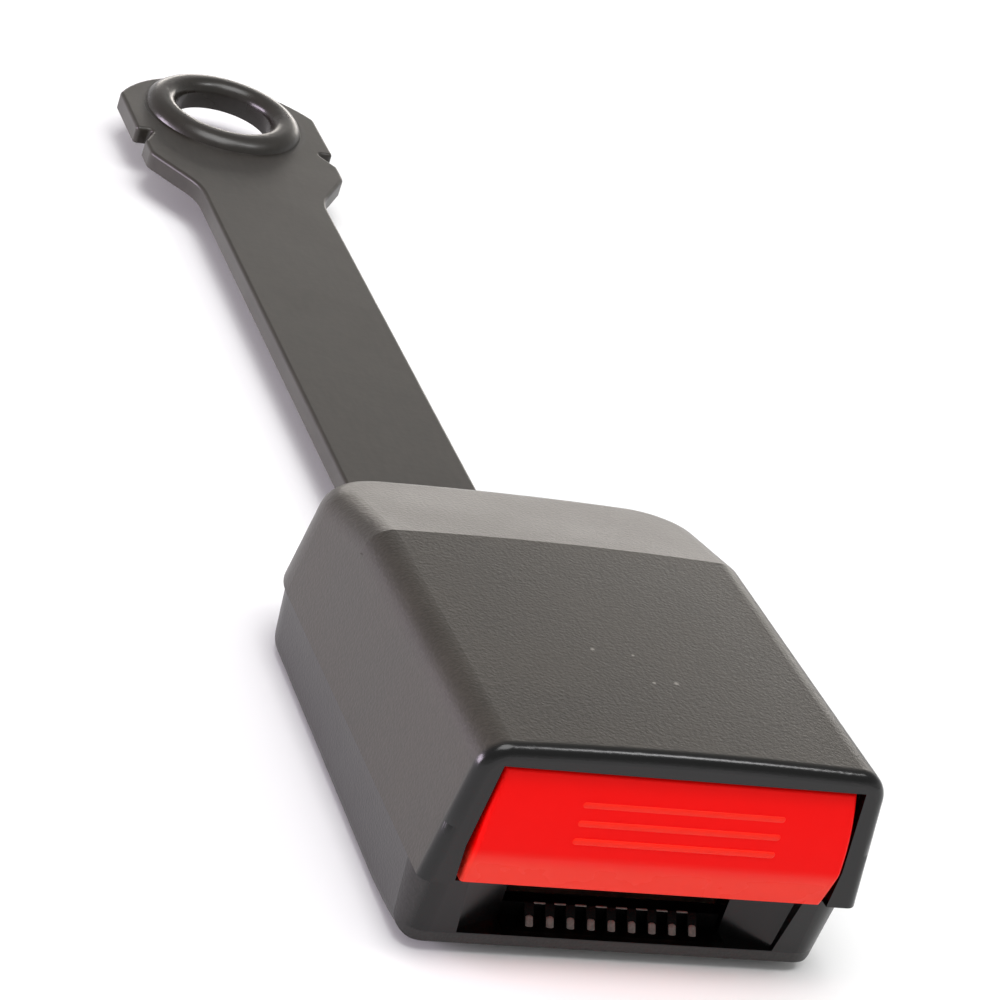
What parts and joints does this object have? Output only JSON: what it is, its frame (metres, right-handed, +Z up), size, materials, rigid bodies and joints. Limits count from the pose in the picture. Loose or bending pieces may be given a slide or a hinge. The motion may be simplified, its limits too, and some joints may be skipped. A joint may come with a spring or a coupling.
{
  "type": "seat belt buckle",
  "caption": "Seat belt buckle with a press button across its front over the tongue slot, on a flat steel stalk that ends in a beaded anchor eye.",
  "frame": {"origin": "on the axis of the anchor hole, at the underside of the stalk", "axes": "+Y along the stalk away from the housing, +Z up through the anchor hole to the button's side, X across"},
  "size_m": [0.0524, 0.2002, 0.0286],
  "materials": {
    "strap_paint": "satin dark paint on pressed steel",
    "cover_plastic": "fine grained moulding",
    "lower_plastic": "fine grained moulding",
    "guide_plastic": "smooth moulding",
    "frame_steel": "zinc plated",
    "rivet_steel": "zinc plated",
    "latch_steel": "hardened, oiled",
    "pin_steel": "ground",
    "clip_steel": "phosphated",
    "button_red": "satin moulding",
    "slider_plastic": "moulded",
    "spring_wire": "drawn wire",
    "ejector_plastic": "natural moulding",
    "carrier_plastic": "moulded",
    "leaf_steel": "spring strip",
    "screw_steel": "black zinc"
  },
  "bodies": {
    "housing": {"anchor_strap": "strap_paint", "upper_cover": "cover_plastic", "lower_cover": "lower_plastic", "tongue_guide": "guide_plastic", "frame": "frame_steel", "strap_rivets": "rivet_steel", "pivot_pin": "pin_steel", "pivot_clips": "clip_steel", "spring_carrier": "carrier_plastic", "latch_spring": "leaf_steel", "cover_screws": "screw_steel", "ejector_guide_rod": "pin_steel", "ejector_spring": "spring_wire", "button_spring_left": "spring_wire", "button_spring_right": "spring_wire"},
    "button": {"press_button": "button_red", "button_slider": "slider_plastic"},
    "latch": {"latch_plate": "latch_steel", "lift_pin": "pin_steel"},
    "ejector": {"ejector": "ejector_plastic"}
  },
  "joints": [
    {"name": "button_press", "type": "slide", "parent": "housing", "child": "button", "axis": [0, 1, 0], "range_m": [0, 0.005], "stiffness_N_per_m": 1200, "springref_m": -0.01, "deforming": ["button_spring_left", "button_spring_right"]},
    {"name": "latch_lift", "type": "hinge", "parent": "housing", "child": "latch", "pos_m": [0, -0.1414, 0.0078], "axis": [-1, 0, 0], "range_deg": [0, 10.5], "deforming": ["latch_spring"]},
    {"name": "ejector_slide", "type": "slide", "parent": "housing", "child": "ejector", "axis": [0, 1, 0], "range_m": [0, 0.007], "stiffness_N_per_m": 300, "springref_m": -0.02, "deforming": ["ejector_spring"]}
  ],
  "couplings": [
    {"joint": "latch_lift", "follows": "button_press", "rad_per_m": 36.65}
  ]
}
